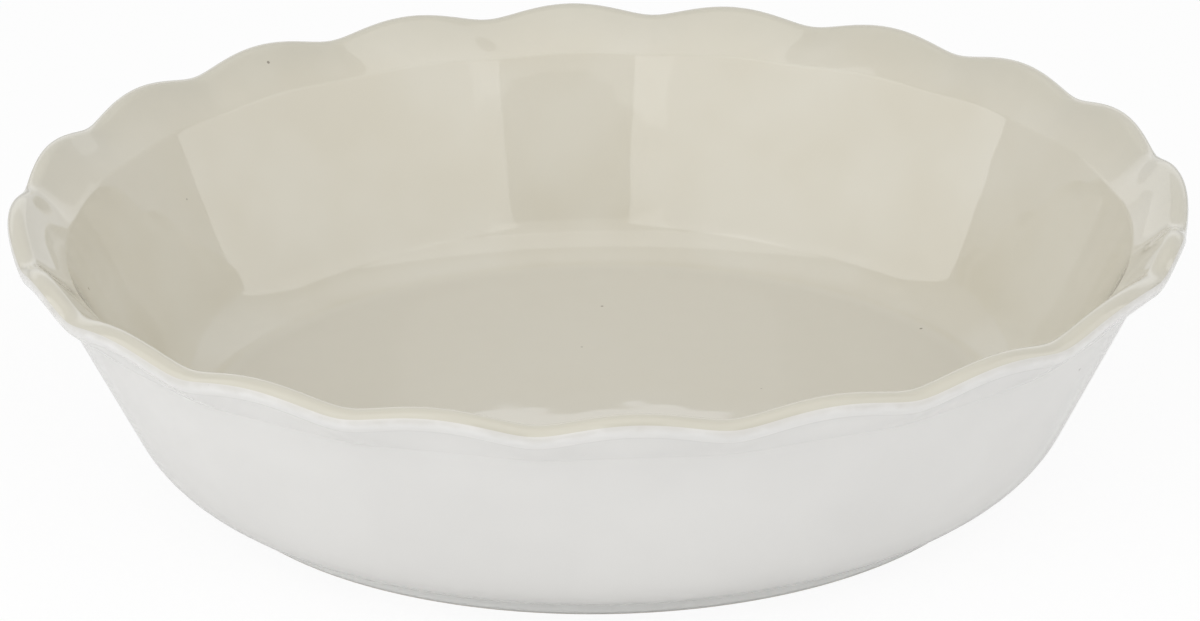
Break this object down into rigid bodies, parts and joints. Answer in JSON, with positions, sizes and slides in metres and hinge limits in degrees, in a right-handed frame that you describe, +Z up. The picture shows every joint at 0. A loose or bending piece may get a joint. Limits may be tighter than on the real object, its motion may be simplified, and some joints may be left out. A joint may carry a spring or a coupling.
{
  "type": "pie dish",
  "caption": "Round stoneware pie dish with leaning sides, a flared rim with a ruffled lip, a foot ring, a cream glazed inside and a white outside.",
  "frame": {"origin": "on the table under the middle of the dish, level with the foot ring's resting face", "axes": "+Z up along the dish's axis, out of its open mouth; +X towards a crest of the ruffle"},
  "size_m": [0.2596, 0.2596, 0.0614],
  "materials": {
    "white_glaze": "glossy clear-fired white glass coat over stoneware",
    "cream_glaze": "glossy cream glass coat",
    "bare_stoneware": "unglazed fired clay on the foot ring's resting face, dry and slightly rough"
  },
  "bodies": {
    "root": {"stoneware_body": "white_glaze", "inner_glaze": "cream_glaze"}
  },
  "joints": []
}
